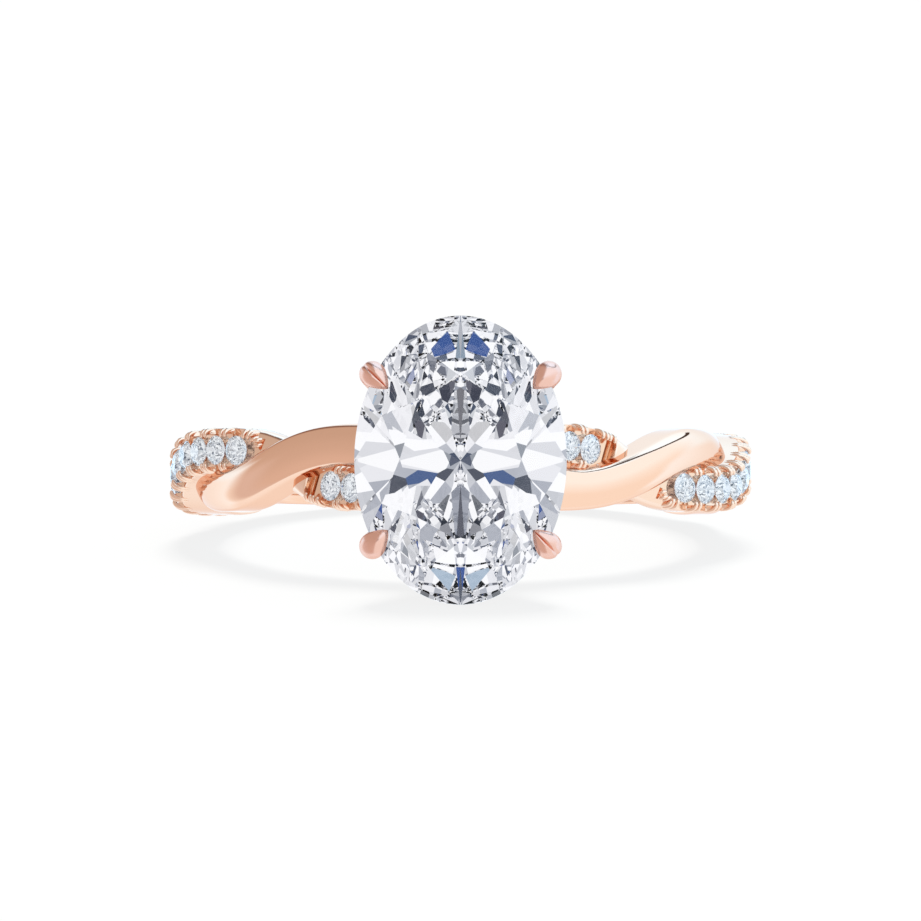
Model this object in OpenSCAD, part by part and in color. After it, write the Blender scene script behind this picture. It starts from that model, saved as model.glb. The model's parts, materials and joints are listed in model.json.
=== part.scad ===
// Twisted shank ring: a polished strand and a stone-set strand wind round each other
// and merge into a plain band at the back. Four pointed claws hold an oval brilliant.
// Millimetres. The ring lies on its side on the plane Z = 0, as it comes to rest by
// itself: on the lower tip of the oval stone and the edge of the plain back band.
// The ring is first built flat: the finger hole runs along Z, the head faces -Y, and
// angles round the ring are counted from the head, positive towards +X.

/* [Finger hole and shank] */
// Diameter of the finger hole
bore_d = 16.5; // [15:0.1:19]
// Width of each strand across its side walls
strand_w = 1.56; // [1.54:0.02:1.64]
// Height of a strand's rounded top above its centre line
strand_top = 0.62; // [0.5:0.02:0.75]
// Thickness of the shank where a strand crosses over the other
over_t = 1.91; // [1.7:0.05:2.1]
// Thickness of the strand that passes below, at the sides of the ring
under_side_t = 1.2; // [1:0.05:1.4]
// The same thickness towards the head, where the twist is deeper
under_head_t = 0.45; // [0.4:0.05:0.8]
// How far a strand swings along the finger as it twists, at the sides of the ring
swing_side = 0.665; // [0.6:0.005:0.73]
// The same at the head, where the twist is wider
swing_head = 0.74; // [0.7:0.01:0.76]
// How far both strands sit below the middle of the back band, towards the head
twist_low = 0.08; // [0:0.01:0.15]
// How far both strands rise towards the head
head_rise = 0.3; // [0.1:0.05:0.4]
// Width of the plain band at the back
back_w = 1.9; // [1.7:0.05:2.2]
// Thickness of the plain band at the back
back_t = 1.62; // [1.5:0.05:1.8]

/* [Stone-set strand] */
// Diameter of each small round stone
pave_d = 1.02; // [0.9:0.02:1.06]
// Distance from one small stone to the next, along the strand
pave_pitch = 1.06; // [1.04:0.02:1.3]
// Number of small stones in each side run
side_count = 10; // [6:1:10]
// Number of small stones in each run beside the head
head_count = 3; // [1:1:3]
// Depth of the cut channel that the small stones sit in
channel_depth = 0.3; // [0.2:0.02:0.36]

/* [Oval stone and head] */
// Length of the oval stone, along the finger
oval_l = 9.8; // [9:0.1:10.4]
// Width of the oval stone, round the finger
oval_w = 7.2; // [6.8:0.1:7.6]
// Height of the oval stone from its point to its girdle
oval_pavilion = 3; // [2.7:0.05:3.1]
// Height of the oval stone from its girdle to its table
oval_crown = 1.05; // [0.9:0.05:1.2]
// Distance from the finger axis to the oval stone's girdle
girdle_r = 13.7; // [13.6:0.05:14.2]
// Thickness of a claw where it passes the girdle
claw_d = 0.9; // [0.85:0.02:1]
// Thickness of the oval rail that ties the claws together
rail_d = 0.76; // [0.6:0.02:0.9]
// Gap between each stone and its metal
stone_gap = 0.03; // [0.02:0.01:0.05]

/* [Hidden] */
bore_r = bore_d / 2;
back_r = bore_r + back_t;
pave_r = pave_d / 2;
// The twist makes four turns round the ring and tightens towards the head
twist_turns = 4;
twist_bow = 21;
// How much squarer than a plain wave the strands swing
twist_square = 0.33;
// Angles from the head between which the rise towards the head dies away
rise_full = 14;
rise_none = 34;
// Angles from the head at which the strands sink into the back band
merge_from = 118;
merge_to = 134;
strand_end = 139;
band_from = 114;
// Angles of the stone nearest the plain strand in each run
side_first = 57;
head_first = 28.6;
// Angles of the ends of the cut channels
side_channel = [49.5, 116];
head_channel = [13, 36.3];
channel_steps = 18;
// Room between a channel's wall and the stones
channel_room = 0.05;
// The sections reach this far inside the finger hole before it is bored
foot = 0.15;
// Angles between the sections of a strand and of the back band
strand_step = 4;
band_step = 6;
// Where the back band starts inside the strands, it has this part of its width
band_start_part = 0.55;
// There it also lies this part of its thickness nearer to the finger
band_start_sink = 0.25;
// A strand's top follows a curve this much squarer than an ellipse
plain_square = 2.3;
pave_square = 3;
back_square = 2.6;
// Height of a small stone's girdle above its strand's centre line
pave_sink = 0.1;
pave_h = strand_top - pave_sink;
// Heights of a small stone above and below its girdle
pave_crown = 0.16;
pave_pavilion = 0.44;
// Proportions of the stones, as parts of the girdle's radius
table_part = 0.57;
crown_mid_part = 0.8;
lower_mid_part = 0.23;
girdle_part = 0.03;

side_angles = walk(side_first, pave_pitch, side_count);
head_angles = walk(head_first, -pave_pitch, head_count);
run_angles = concat(head_angles, side_angles);
stone_angles = concat([for (a = run_angles) a], [for (a = run_angles) -a]);
stone_names = [for (i = [0:len(stone_angles) - 1])
    str("pave_stone_", stone_angles[i] > 0 ? "right_" : "left_", i % len(run_angles) + 1)];

// Smooth step from 0 to 1 as x goes from lo to hi
function ease(x, lo, hi) = let (t = min(1, max(0, (x - lo) / (hi - lo)))) t * t * (3 - 2 * t);
function unit(v) = v / norm(v);
function power(x, p) = x == 0 ? 0 : sign(x) * pow(abs(x), p);

// Direction out of the finger hole at an angle round the ring
function out(a) = [sin(a), -cos(a), 0];
function phase(a) = twist_turns * a + twist_bow * sin(a);
function keep(a) = 1 - ease(abs(a), merge_from, merge_to);
function rise(a) = head_rise * (1 - ease(abs(a), rise_full, rise_none));
// Centre line of a strand: side is 1 for the stone-set strand, -1 for the polished one
function under_t(a) = under_side_t - (under_side_t - under_head_t) * pow(cos(a), 2);
function line_r(a, side) = bore_r + rise(a) + over_t - strand_top
    - (over_t - under_t(a)) * (1 - side * cos(phase(a)) * keep(a)) / 2;
function swing(a) = swing_side + (swing_head - swing_side) * pow(cos(a), 2);
function wave(a) = let (s = sin(phase(a))) s * (1 + twist_square * (1 - s * s));
function line_z(a, side) = keep(a) * (side * swing(a) * wave(a) - twist_low * cos(a));
function line_at(a, side) = out(a) * line_r(a, side) + [0, 0, line_z(a, side)];
function line_dir(a, side) = unit(line_at(a + 0.5, side) - line_at(a - 0.5, side));
// Direction across the strand, along its skin
function across(a, side) = unit(cross(out(a), line_dir(a, side)));
// Direction away from the strand's skin, which leans as the strand dives
function lift_dir(a, side) = unit(cross(line_dir(a, side), across(a, side)));

// Angles of a run of stones, each one pitch further along the strand
function next_angle(a, gap) = let (
    pace = norm(pave_point(a + 0.5) - pave_point(a - 0.5)),
    half = a + gap / pace / 2,
    mid_pace = norm(pave_point(half + 0.5) - pave_point(half - 0.5))
) a + gap / mid_pace;
function walk(a, gap, n) = n <= 0 ? [] : concat([a], walk(next_angle(a, gap), gap, n - 1));
function pave_point(a) = line_at(a, 1) + lift_dir(a, 1) * pave_h;

// Section of a strand: straight walls from the foot, then a rounded top
function arch(w, top, square, foot_h) = concat(
    [[w / 2, foot_h]],
    [for (t = [0:30:180]) [w / 2 * power(cos(t), 2 / square), top * power(sin(t), 2 / square)]],
    [[-w / 2, foot_h]]
);

// Solid through equal rings of points, listed anticlockwise seen from the far end
module skin(rings) {
    n = len(rings);
    m = len(rings[0]);
    points = [for (ring = rings, p = ring) p];
    walls = [for (i = [0:n - 2], j = [0:m - 1]) let (k = (j + 1) % m)
        [i * m + j, (i + 1) * m + j, (i + 1) * m + k, i * m + k]];
    near_end = [[for (j = [0:m - 1]) j]];
    far_end = [[for (j = [m - 1:-1:0]) (n - 1) * m + j]];
    polyhedron(points = points, faces = concat(walls, near_end, far_end), convexity = 8);
}

// Closed loop through equal rings of points
module loop_skin(rings) {
    n = len(rings);
    m = len(rings[0]);
    points = [for (ring = rings, p = ring) p];
    walls = [for (i = [0:n - 1], j = [0:m - 1]) let (k = (j + 1) % m, l = (i + 1) % n)
        [i * m + j, l * m + j, l * m + k, i * m + k]];
    polyhedron(points = points, faces = walls, convexity = 8);
}

module strand(side, square) {
    skin([for (a = [-strand_end:strand_step:strand_end]) let (
        c = line_at(a, side),
        w_dir = across(a, side),
        inner = bore_r - foot - line_r(a, side)
    ) [for (p = arch(strand_w, strand_top, square, inner)) c + w_dir * p[0] + out(a) * p[1]]]);
}

// Plain band at the back, which grows out of the two strands
module back_band() {
    centre = bore_r + back_t / 2;
    skin([for (a = [band_from:band_step:360 - band_from]) let (
        grown = ease(180 - abs(a - 180), band_from, merge_to),
        w = back_w * (band_start_part + (1 - band_start_part) * grown),
        r = centre - (1 - grown) * back_t * band_start_sink
    ) [for (p = arch(w, back_r - centre, back_square, bore_r - foot - r))
        out(a) * (r + p[1]) + [0, 0, p[0]]]]);
}

// Channel cut into the top of the stone-set strand between two angles
module channel(from, to) {
    half = pave_r + channel_room;
    floor_h = strand_top - channel_depth;
    skin([for (i = [0:channel_steps]) let (
        a = from + (to - from) * i / channel_steps,
        c = line_at(a, 1),
        w_dir = across(a, 1),
        up = lift_dir(a, 1)
    ) [for (p = [[half, floor_h], [half, 2], [-half, 2], [-half, floor_h]])
        c + w_dir * p[0] + up * p[1]]]);
}

// Places children on the stone-set strand at an angle: Z leaves the skin, X runs along it
module on_strand(a) {
    x = line_dir(a, 1);
    y = across(a, 1);
    z = lift_dir(a, 1);
    c = line_at(a, 1);
    multmatrix([[x[0], y[0], z[0], c[0]], [x[1], y[1], z[1], c[1]], [x[2], y[2], z[2], c[2]],
        [0, 0, 0, 1]]) children();
}

// Brilliant with 57 facets, its table up: half sizes at the girdle, heights of its crown
// and pavilion, and the number of girdle edges to each of the 16 facets beside it
module brilliant(rx, ry, crown, pavilion, per_facet) {
    n = 16 * per_facet;
    edge = girdle_part * (rx + ry) / 2;
    bezel = (crown_mid_part * cos(22.5) - table_part) / (1 - table_part);
    crown_mid_h = edge + crown * (1 - bezel);
    lower_mid_h = -edge - pavilion * (1 - lower_mid_part * cos(22.5));
    function spot(part, a, h) = [rx * part * cos(a), ry * part * sin(a), h];
    tables = [for (k = [0:7]) spot(table_part, 45 * k, edge + crown)];
    crown_mids = [for (k = [0:7]) spot(crown_mid_part, 45 * k + 22.5, crown_mid_h)];
    uppers = [for (j = [0:n - 1]) spot(1, 360 * j / n, edge)];
    lowers = [for (j = [0:n - 1]) spot(1, 360 * j / n, -edge)];
    lower_mids = [for (k = [0:7]) spot(lower_mid_part, 45 * k + 22.5, lower_mid_h)];
    points = concat(tables, crown_mids, uppers, lowers, lower_mids, [[0, 0, -edge - pavilion]]);
    m0 = 8;
    u0 = 16;
    d0 = u0 + n;
    l0 = d0 + n;
    faces = concat(
        [[for (k = [7:-1:0]) k]],
        [for (k = [0:7]) [k, (k + 1) % 8, m0 + k]],
        [for (k = [0:7]) [k, m0 + k, u0 + 2 * per_facet * k, m0 + (k + 7) % 8]],
        [for (k = [0:7], i = [0:2 * per_facet - 1]) let (j = 2 * per_facet * k + i)
            [m0 + k, u0 + (j + 1) % n, u0 + j]],
        [for (j = [0:n - 1]) [d0 + j, u0 + j, u0 + (j + 1) % n, d0 + (j + 1) % n]],
        [for (k = [0:7], i = [0:2 * per_facet - 1]) let (j = 2 * per_facet * k + i)
            [l0 + k, d0 + j, d0 + (j + 1) % n]],
        [for (k = [0:7]) [l0 + 8, l0 + (k + 7) % 8, d0 + 2 * per_facet * k, l0 + k]]
    );
    polyhedron(points = points, faces = faces, convexity = 4);
}

module pave_stone(a) {
    color("aliceblue") lay_down() on_strand(a) translate([0, 0, pave_h])
        brilliant(pave_r, pave_r, pave_crown, pave_pavilion, 1);
}

// How far below a small stone's girdle its seat starts, and how high its well reaches
seat_drop = 0.06;
well_h = 0.7;
seat_point_r = 0.04;

// Seat of a small stone: a cone for its point, and a well that clears the next strand
module pave_seat(a) {
    r = pave_r + stone_gap;
    on_strand(a) translate([0, 0, pave_h - seat_drop]) {
        cylinder(r = r, h = well_h, $fn = 16);
        translate([0, 0, -pave_pavilion])
            cylinder(r1 = seat_point_r, r2 = r, h = pave_pavilion, $fn = 10);
    }
}

// Prongs between small stones: distance in from the strand's side, half widths and height
prong_inset = 0.17;
prong_foot = 0.24;
prong_tip = 0.16;
prong_h = strand_top + 0.05;

// Pair of prongs between two small stones, one on each edge of the strand
module prong_pair(a) {
    for (edge = [-1, 1])
        on_strand(a) translate([0, edge * (strand_w / 2 - prong_inset), 0])
            rotate(45) cylinder(r1 = prong_foot, r2 = prong_tip, h = prong_h, $fn = 4);
}

function mid_angles(run) = [for (i = [0:len(run) - 2]) (run[i] + run[i + 1]) / 2];
function gap_angles(run) = let (lead = (run[1] - run[0]) / 2, n = len(run))
    concat([run[0] - lead], mid_angles(run), [run[n - 1] + lead]);
gaps = concat(gap_angles(head_angles), gap_angles(side_angles));

// Path of a claw, from its foot in the shank to its point on the stone.
// Columns: distance from the head's axis, distance from the finger axis, half width.
claw_path = [
    [1.05, 9.1, 0.5],
    [2.2, 10.9, 0.45],
    [3.4, 12.5, 0.45],
    [4.06, girdle_r - 0.3, claw_d / 2],
    [4.17, girdle_r + 0.2, claw_d / 2],
    [4.07, girdle_r + 0.48, 0.4],
    [3.88, girdle_r + 0.7, 0.23],
    [3.62, girdle_r + 0.72, 0.05]
];
// Direction of a claw from the head's axis, counted from the oval's width to its length
claw_turn = 44.3;
claw_sides = 10;

module claw(right, up) {
    n = len(claw_path);
    flat = [for (p = claw_path) [p[0] * cos(claw_turn) * right, -p[1], p[0] * sin(claw_turn) * up]];
    skin([for (i = [0:n - 1]) let (
        ahead = flat[min(n - 1, i + 1)],
        behind = flat[max(0, i - 1)],
        t = unit(ahead - behind),
        u = unit(cross(t, [-sin(claw_turn) * up, 0, cos(claw_turn) * right])),
        v = cross(t, u)
    ) [for (j = [0:claw_sides - 1]) let (q = 360 * j / claw_sides)
        flat[i] + claw_path[i][2] * (u * cos(q) + v * sin(q))]]);
}

// Distance of the rail from the finger axis, and its size as a part of the oval stone's
rail_r = 11.6;
rail_part = 0.66;
rail_steps = 32;

// Oval rail that ties the claws together half way up
module gallery_rail() {
    loop_skin([for (i = [0:rail_steps - 1]) let (
        q = 360 * i / rail_steps,
        c = [oval_w / 2 * rail_part * cos(q), -rail_r, oval_l / 2 * rail_part * sin(q)],
        t = unit([-oval_w / 2 * sin(q), 0, oval_l / 2 * cos(q)]),
        n = cross([0, 1, 0], t)
    ) [for (j = [0:7]) c + rail_d / 2 * (n * cos(45 * j) - cross(n, t) * sin(45 * j))]]);
}

// Places the oval stone: its table faces the head's outer side and its length runs along Z
module on_head() {
    translate([0, -girdle_r, 0]) rotate([90, 0, 0]) children();
}

module oval_stone() {
    color("aliceblue") lay_down() on_head()
        brilliant(oval_w / 2, oval_l / 2, oval_crown, oval_pavilion, 3);
}

module oval_seat() {
    on_head() brilliant(oval_w / 2 + stone_gap, oval_l / 2 + stone_gap,
        oval_crown + stone_gap, oval_pavilion + stone_gap, 3);
}

module shaped_metal() {
    difference() {
        union() {
            strand(-1, plain_square);
            difference() {
                strand(1, pave_square);
                for (ends = [side_channel, head_channel]) {
                    channel(ends[0], ends[1]);
                    channel(-ends[1], -ends[0]);
                }
            }
            back_band();
            for (a = gaps, turn = [1, -1]) prong_pair(a * turn);
            for (right = [1, -1], up = [1, -1]) claw(right, up);
            gallery_rail();
        }
        for (a = stone_angles) pave_seat(a);
        oval_seat();
    }
}

module shank_and_head() {
    color("#e8b79a") lay_down() difference() {
        // Joins the shaped metal before the round finger hole is bored
        resize([0, 0, 0]) shaped_metal();
        cylinder(r = bore_r, h = bore_d, center = true, $fn = 128);
    }
}

// Half of the oval stone's girdle thickness
oval_edge = girdle_part * (oval_w + oval_l) / 4;
// How far below the ring's centre the oval's tip and the back band reach at a tilt
function front_drop(t) = oval_l / 2 * cos(t) - (girdle_r - oval_edge) * sin(t);
function back_drop(t) = let (centre = bore_r + back_t / 2)
    max([for (p = arch(back_w, back_t / 2, back_square, 0)) p[0] * cos(t) + (centre + p[1]) * sin(t)]);
// The tilt at which both reach equally far, found by halving the interval n times
function settle(lo, hi, n) = let (t = (lo + hi) / 2)
    n == 0 ? t : front_drop(t) > back_drop(t) ? settle(t, hi, n - 1) : settle(lo, t, n - 1);
rest_tilt = settle(0, 20, 24);
rest_lift = front_drop(rest_tilt);
table_r = girdle_r + oval_crown + oval_edge;
centre_y = (table_r * cos(rest_tilt) - back_r) / 2;

// Lays the ring on its side, with the middle of its underside at the origin
module lay_down() {
    translate([0, centre_y, rest_lift]) rotate([-rest_tilt, 0, 0]) children();
}

shank_and_head();
oval_stone();
for (i = [0:len(stone_angles) - 1])
    pave_stone(stone_angles[i]);
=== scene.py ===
import bmesh
import bpy
import json
from math import atan, copysign, cos, degrees, hypot, pi, radians, sin
from mathutils import Matrix, Vector


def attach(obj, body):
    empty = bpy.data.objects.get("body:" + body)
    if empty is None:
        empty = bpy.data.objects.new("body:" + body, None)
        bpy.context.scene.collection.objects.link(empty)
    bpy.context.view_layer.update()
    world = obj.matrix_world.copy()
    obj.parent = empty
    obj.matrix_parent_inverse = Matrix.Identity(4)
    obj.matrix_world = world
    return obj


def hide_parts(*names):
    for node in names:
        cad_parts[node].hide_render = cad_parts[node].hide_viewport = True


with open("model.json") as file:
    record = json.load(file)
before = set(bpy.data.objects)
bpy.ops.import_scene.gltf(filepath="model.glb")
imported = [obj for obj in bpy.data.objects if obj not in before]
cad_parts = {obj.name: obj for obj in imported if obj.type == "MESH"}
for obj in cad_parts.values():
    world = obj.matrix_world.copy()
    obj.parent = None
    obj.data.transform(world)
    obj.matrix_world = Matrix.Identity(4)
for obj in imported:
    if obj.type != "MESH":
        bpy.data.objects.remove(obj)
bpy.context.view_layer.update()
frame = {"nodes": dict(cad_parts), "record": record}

# Sizes in millimetres, as in the part's source. The ring is built flat: the finger hole
# runs along Z, the head faces -Y, and angles count from the head, positive towards +X.
BORE_R = 8.25
# Section of the strands, and the shank's thickness where one passes over or under the other
STRAND_W = 1.56
STRAND_TOP = 0.62
OVER_T = 1.91
UNDER_SIDE_T = 1.2
UNDER_HEAD_T = 0.45
# The twist: its swing along the finger, its turns, and how it tightens, sinks and squares
SWING_SIDE = 0.665
SWING_HEAD = 0.74
TWIST_TURNS = 4
TWIST_BOW = 21
TWIST_LOW = 0.08
TWIST_SQUARE = 0.33
# Rise towards the head, and the angles between which it dies away
HEAD_RISE = 0.3
RISE_FULL = 14
RISE_NONE = 34
# Plain band at the back, and the angles at which the strands sink into it
BACK_W = 1.9
BACK_T = 1.62
STRAND_END = 139
BAND_FROM = 114
MERGE_FROM = 118
MERGE_TO = 134
# How far the bores of the band and of the stone-set strand stand back from the polished one
BAND_BACK = 0.004
CARVED_BACK = 0.008
# Small stones: radius, pitch, height, and height of their parts, the girdle's as a part of
# the radius; where each run starts and how many it has
PAVE_R = 0.51
PAVE_PITCH = 1.06
PAVE_H = 0.52
PAVE_CROWN = 0.16
PAVE_PAVILION = 0.44
PAVE_GIRDLE = 0.06
SIDE_FIRST = 57
HEAD_FIRST = 28.6
SIDE_COUNT = 10
HEAD_COUNT = 3
STONE_GAP = 0.03
# Channels cut for them: the angles that each reaches between, its half width and depth
SIDE_CHANNEL = (50.3, 116)
HEAD_CHANNEL = (13, 35.4)
CHANNEL_HALF = 0.56
CHANNEL_DEPTH = 0.3
# Oval stone, the turn of its claws from its width, and the rail that ties them together
OVAL_L = 9.8
OVAL_W = 7.2
GIRDLE_R = 13.7
OVAL_CROWN = 1.05
OVAL_PAVILION = 3
OVAL_GIRDLE = 0.26
CLAW_TURN = 44.3
RAIL_R = 11.6
RAIL_D = 0.76
RAIL_PART = 0.66

# How the ring lies on its side, read from the finger hole's mount
hole = next(m for m in frame["record"]["mounts"] if m["name"] == "finger_hole")
REST_TILT = atan(hole["axis"][1] / hole["axis"][2])
CENTRE = Vector(hole["pos_m"])
MM = 0.001
LAY_DOWN = (Matrix.Translation(CENTRE) @ Matrix.Rotation(-REST_TILT, 4, "X")
            @ Matrix.Scale(MM, 4))


# Node trees, written as sums
class Value:
    """A node's output socket, so that sums on it can be written as plain Python."""

    def __init__(self, tree, socket):
        self.tree = tree
        self.socket = socket

    def sum(self, operation, *terms, vector=False):
        kind = "ShaderNodeVectorMath" if vector else "ShaderNodeMath"
        return node(self.tree, kind, {"operation": operation}, dict(enumerate(terms)))

    def math(self, operation, *others):
        return self.sum(operation, self, *others)

    def is_vector(self, other):
        sockets = [v.socket for v in (self, other) if isinstance(v, Value)]
        return any(s.type in ("VECTOR", "RGBA") for s in sockets) or isinstance(other, tuple)

    def __add__(self, other):
        return self.sum("ADD", self, other, vector=self.is_vector(other))

    def __sub__(self, other):
        return self.sum("SUBTRACT", self, other, vector=self.is_vector(other))

    def __rsub__(self, other):
        return self.sum("SUBTRACT", other, self, vector=self.is_vector(other))

    def __mul__(self, other):
        if self.socket.type == "VECTOR" and not isinstance(other, tuple):
            return node(self.tree, "ShaderNodeVectorMath", {"operation": "SCALE"},
                        {"Vector": self, "Scale": other})
        return self.sum("MULTIPLY", self, other, vector=self.is_vector(other))

    def __truediv__(self, other):
        return self.sum("DIVIDE", self, other)

    def __rtruediv__(self, other):
        return self.sum("DIVIDE", other, self)

    def __pow__(self, other):
        return self.sum("POWER", self, other)

    __radd__ = __add__
    __rmul__ = __mul__

    def number(self):
        """The number that a sum of vectors gives, such as a dot product or a length."""
        return Value(self.tree, self.socket.node.outputs["Value"])

    def dot(self, other):
        return self.sum("DOT_PRODUCT", self, other, vector=True).number()

    def length(self):
        return self.sum("LENGTH", self, vector=True).number()

    def parts(self):
        split = node(self.tree, "ShaderNodeSeparateXYZ", {}, {"Vector": self})
        return [Value(self.tree, output) for output in split.socket.node.outputs]


def node(tree, kind, settings, sockets, out=0):
    """Adds a node: its settings first, then its sockets' values or links. Returns an output."""
    made = tree.nodes.new(kind)
    for name, value in settings.items():
        if name == "stops":
            set_stops(made.color_ramp, value)
        else:
            setattr(made, name, value)
    for key, value in sockets.items():
        live = [s for s in made.inputs if s.enabled]
        socket = live[key] if isinstance(key, int) else next(s for s in live if s.name == key)
        if isinstance(value, Value):
            tree.links.new(value.socket, socket)
        else:
            socket.default_value = value
    outputs = [s for s in made.outputs if s.enabled]
    if not outputs:
        return None
    key = outputs[out] if isinstance(out, int) else next(s for s in outputs if s.name == out)
    return Value(tree, key)


def set_stops(ramp, stops):
    """Places a colour ramp's stops: pairs of a place and a colour."""
    while len(ramp.elements) < len(stops):
        ramp.elements.new(1)
    for element, (place, colour) in zip(ramp.elements, stops):
        element.position = place
        element.color = colour


# The path of the two strands

# A strand's direction at an angle is taken between points this many degrees to either side
HALF_STEP = 0.5


def ease(x, lo, hi):
    """Smooth step from 0 at lo to 1 at hi."""
    t = min(1, max(0, (x - lo) / (hi - lo)))
    return t * t * (3 - 2 * t)


def power(x, p):
    """A power that keeps the sign."""
    return copysign(abs(x) ** p, x)


def outward(a):
    """Direction away from the finger axis."""
    return Vector((sin(radians(a)), -cos(radians(a)), 0))


def keep(a):
    """How much of the twist is left, before the strands merge at the back."""
    return 1 - ease(abs(a), MERGE_FROM, MERGE_TO)


def phase(a):
    """Turn of the twist, which tightens towards the head."""
    return radians(TWIST_TURNS * a + TWIST_BOW * sin(radians(a)))


def line_at(a, side):
    """Centre line of a strand: side is 1 for the stone-set strand, -1 for the polished one."""
    under = UNDER_SIDE_T - (UNDER_SIDE_T - UNDER_HEAD_T) * cos(radians(a)) ** 2
    lift = (OVER_T - under) * (1 - side * cos(phase(a)) * keep(a)) / 2
    rise = HEAD_RISE * (1 - ease(abs(a), RISE_FULL, RISE_NONE))
    r = BORE_R + rise + OVER_T - STRAND_TOP - lift
    swing = SWING_SIDE + (SWING_HEAD - SWING_SIDE) * cos(radians(a)) ** 2
    wave = sin(phase(a))
    wave = wave * (1 + TWIST_SQUARE * (1 - wave * wave))
    z = keep(a) * (side * swing * wave - TWIST_LOW * cos(radians(a)))
    return outward(a) * r + Vector((0, 0, z))


def axes_at(a, side):
    """Along the strand, across it and away from its skin."""
    along = (line_at(a + HALF_STEP, side) - line_at(a - HALF_STEP, side)).normalized()
    across = outward(a).cross(along).normalized()
    return along, across, along.cross(across).normalized()


def pave_point(a):
    """Middle of a small stone's girdle."""
    return line_at(a, 1) + axes_at(a, 1)[2] * PAVE_H


def length_at(a):
    """Length of one degree along the row of small stones."""
    return (pave_point(a + HALF_STEP) - pave_point(a - HALF_STEP)).length


def run_of_stones(a, gap, count):
    """Angles of a run of stones, each one pitch further along the strand."""
    angles = []
    for _ in range(count):
        angles.append(a)
        middle = a + gap / length_at(a) / 2
        a += gap / length_at(middle)
    return angles


SIDE_RUN = run_of_stones(SIDE_FIRST, PAVE_PITCH, SIDE_COUNT)
HEAD_RUN = run_of_stones(HEAD_FIRST, -PAVE_PITCH, HEAD_COUNT)
STONES = [turn * a for turn in (1, -1) for a in HEAD_RUN + SIDE_RUN]


# Making meshes
def finish_mesh(mesh, crease):
    """Lays a mesh built in the ring's own frame on its side, and smooths it up to a crease."""
    mesh.transform(LAY_DOWN)
    if crease:
        mesh.polygons.foreach_set("use_smooth", [True] * len(mesh.polygons))
        mesh.set_sharp_from_angle(angle=radians(crease))
    mesh.update()


def add_piece(name, mesh, material, crease=35):
    """Lays a mesh down and makes it a piece of the ring, of one material."""
    finish_mesh(mesh, crease)
    mesh.materials.clear()
    mesh.materials.append(material)
    piece = bpy.data.objects.new(name, mesh)
    bpy.context.scene.collection.objects.link(piece)
    return piece


def hollow_out(name, mesh, cutters):
    """Takes other meshes' shapes out of a mesh, and returns the plain mesh that is left."""
    block = bpy.data.objects.new(name, mesh)
    tool = bpy.data.objects.new(name + "_cutter", cutters)
    for obj in (block, tool):
        bpy.context.scene.collection.objects.link(obj)
    cut = block.modifiers.new("cut", "BOOLEAN")
    cut.object = tool
    cut.operation = "DIFFERENCE"
    cut.solver = "EXACT"
    shown = bpy.context.evaluated_depsgraph_get()
    left = bpy.data.meshes.new_from_object(block.evaluated_get(shown))
    for obj in (block, tool):
        bpy.data.objects.remove(obj)
    left.name = name
    return left


def joined(name, meshes):
    """One mesh made of several."""
    bm = bmesh.new()
    for mesh in meshes:
        bm.from_mesh(mesh)
    whole = bpy.data.meshes.new(name)
    bm.to_mesh(whole)
    bm.free()
    return whole


def skin(name, rings):
    """Closed mesh through equal rings of points. A ring of one point is a pole."""
    bm = bmesh.new()
    rows = [[bm.verts.new(p) for p in ring] for ring in rings]
    for near, far in zip(rows, rows[1:]):
        n = max(len(near), len(far))
        for j in range(n):
            k = (j + 1) % n
            if len(near) == 1:
                bm.faces.new((near[0], far[j], far[k]))
            elif len(far) == 1:
                bm.faces.new((near[j], far[0], near[k]))
            else:
                bm.faces.new((near[j], far[j], far[k], near[k]))
    bmesh.ops.recalc_face_normals(bm, faces=bm.faces)
    mesh = bpy.data.meshes.new(name)
    bm.to_mesh(mesh)
    bm.free()
    return mesh


def new_tree(name, inputs):
    """Geometry tree with named inputs, and what its Group Input gives by name."""
    tree = bpy.data.node_groups.new(name, "GeometryNodeTree")
    tree.interface.new_socket("Geometry", in_out="INPUT", socket_type="NodeSocketGeometry")
    for label, (kind, value) in inputs.items():
        item = tree.interface.new_socket(label, in_out="INPUT", socket_type="NodeSocket" + kind)
        if value is not None:
            item.default_value = value
    tree.interface.new_socket("Geometry", in_out="OUTPUT", socket_type="NodeSocketGeometry")
    given = tree.nodes.new("NodeGroupInput")
    return tree, {s.name: Value(tree, s) for s in given.outputs if s.name}


def end_tree(tree, shape, material):
    """Makes what the tree grew real, gives it its material and ends the tree with it."""
    real = node(tree, "GeometryNodeRealizeInstances", {}, {"Geometry": shape})
    worn = node(tree, "GeometryNodeSetMaterial", {}, {"Geometry": real, "Material": material})
    node(tree, "NodeGroupOutput", {}, {"Geometry": worn})


def grow(name, mesh, tree, values):
    """Runs a tree on a mesh and returns the plain mesh that it makes."""
    seed = bpy.data.objects.new(name, mesh)
    bpy.context.scene.collection.objects.link(seed)
    shaper = seed.modifiers.new("shape", "NODES")
    shaper.node_group = tree
    for item in tree.interface.items_tree:
        if item.item_type == "SOCKET" and item.in_out == "INPUT" and item.name in values:
            shaper[item.identifier] = values[item.name]
    shown = bpy.context.evaluated_depsgraph_get()
    made = bpy.data.meshes.new_from_object(seed.evaluated_get(shown))
    seed.modifiers.remove(shaper)
    bpy.data.objects.remove(seed)
    return made


def named(tree, name, kind="FLOAT"):
    """What the mesh carries at each point under a name."""
    return node(tree, "GeometryNodeInputNamedAttribute", {"data_type": kind}, {"Name": name})


# Points of a swept section that lie closer than this are one point
SEAM = 0.0002


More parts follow.
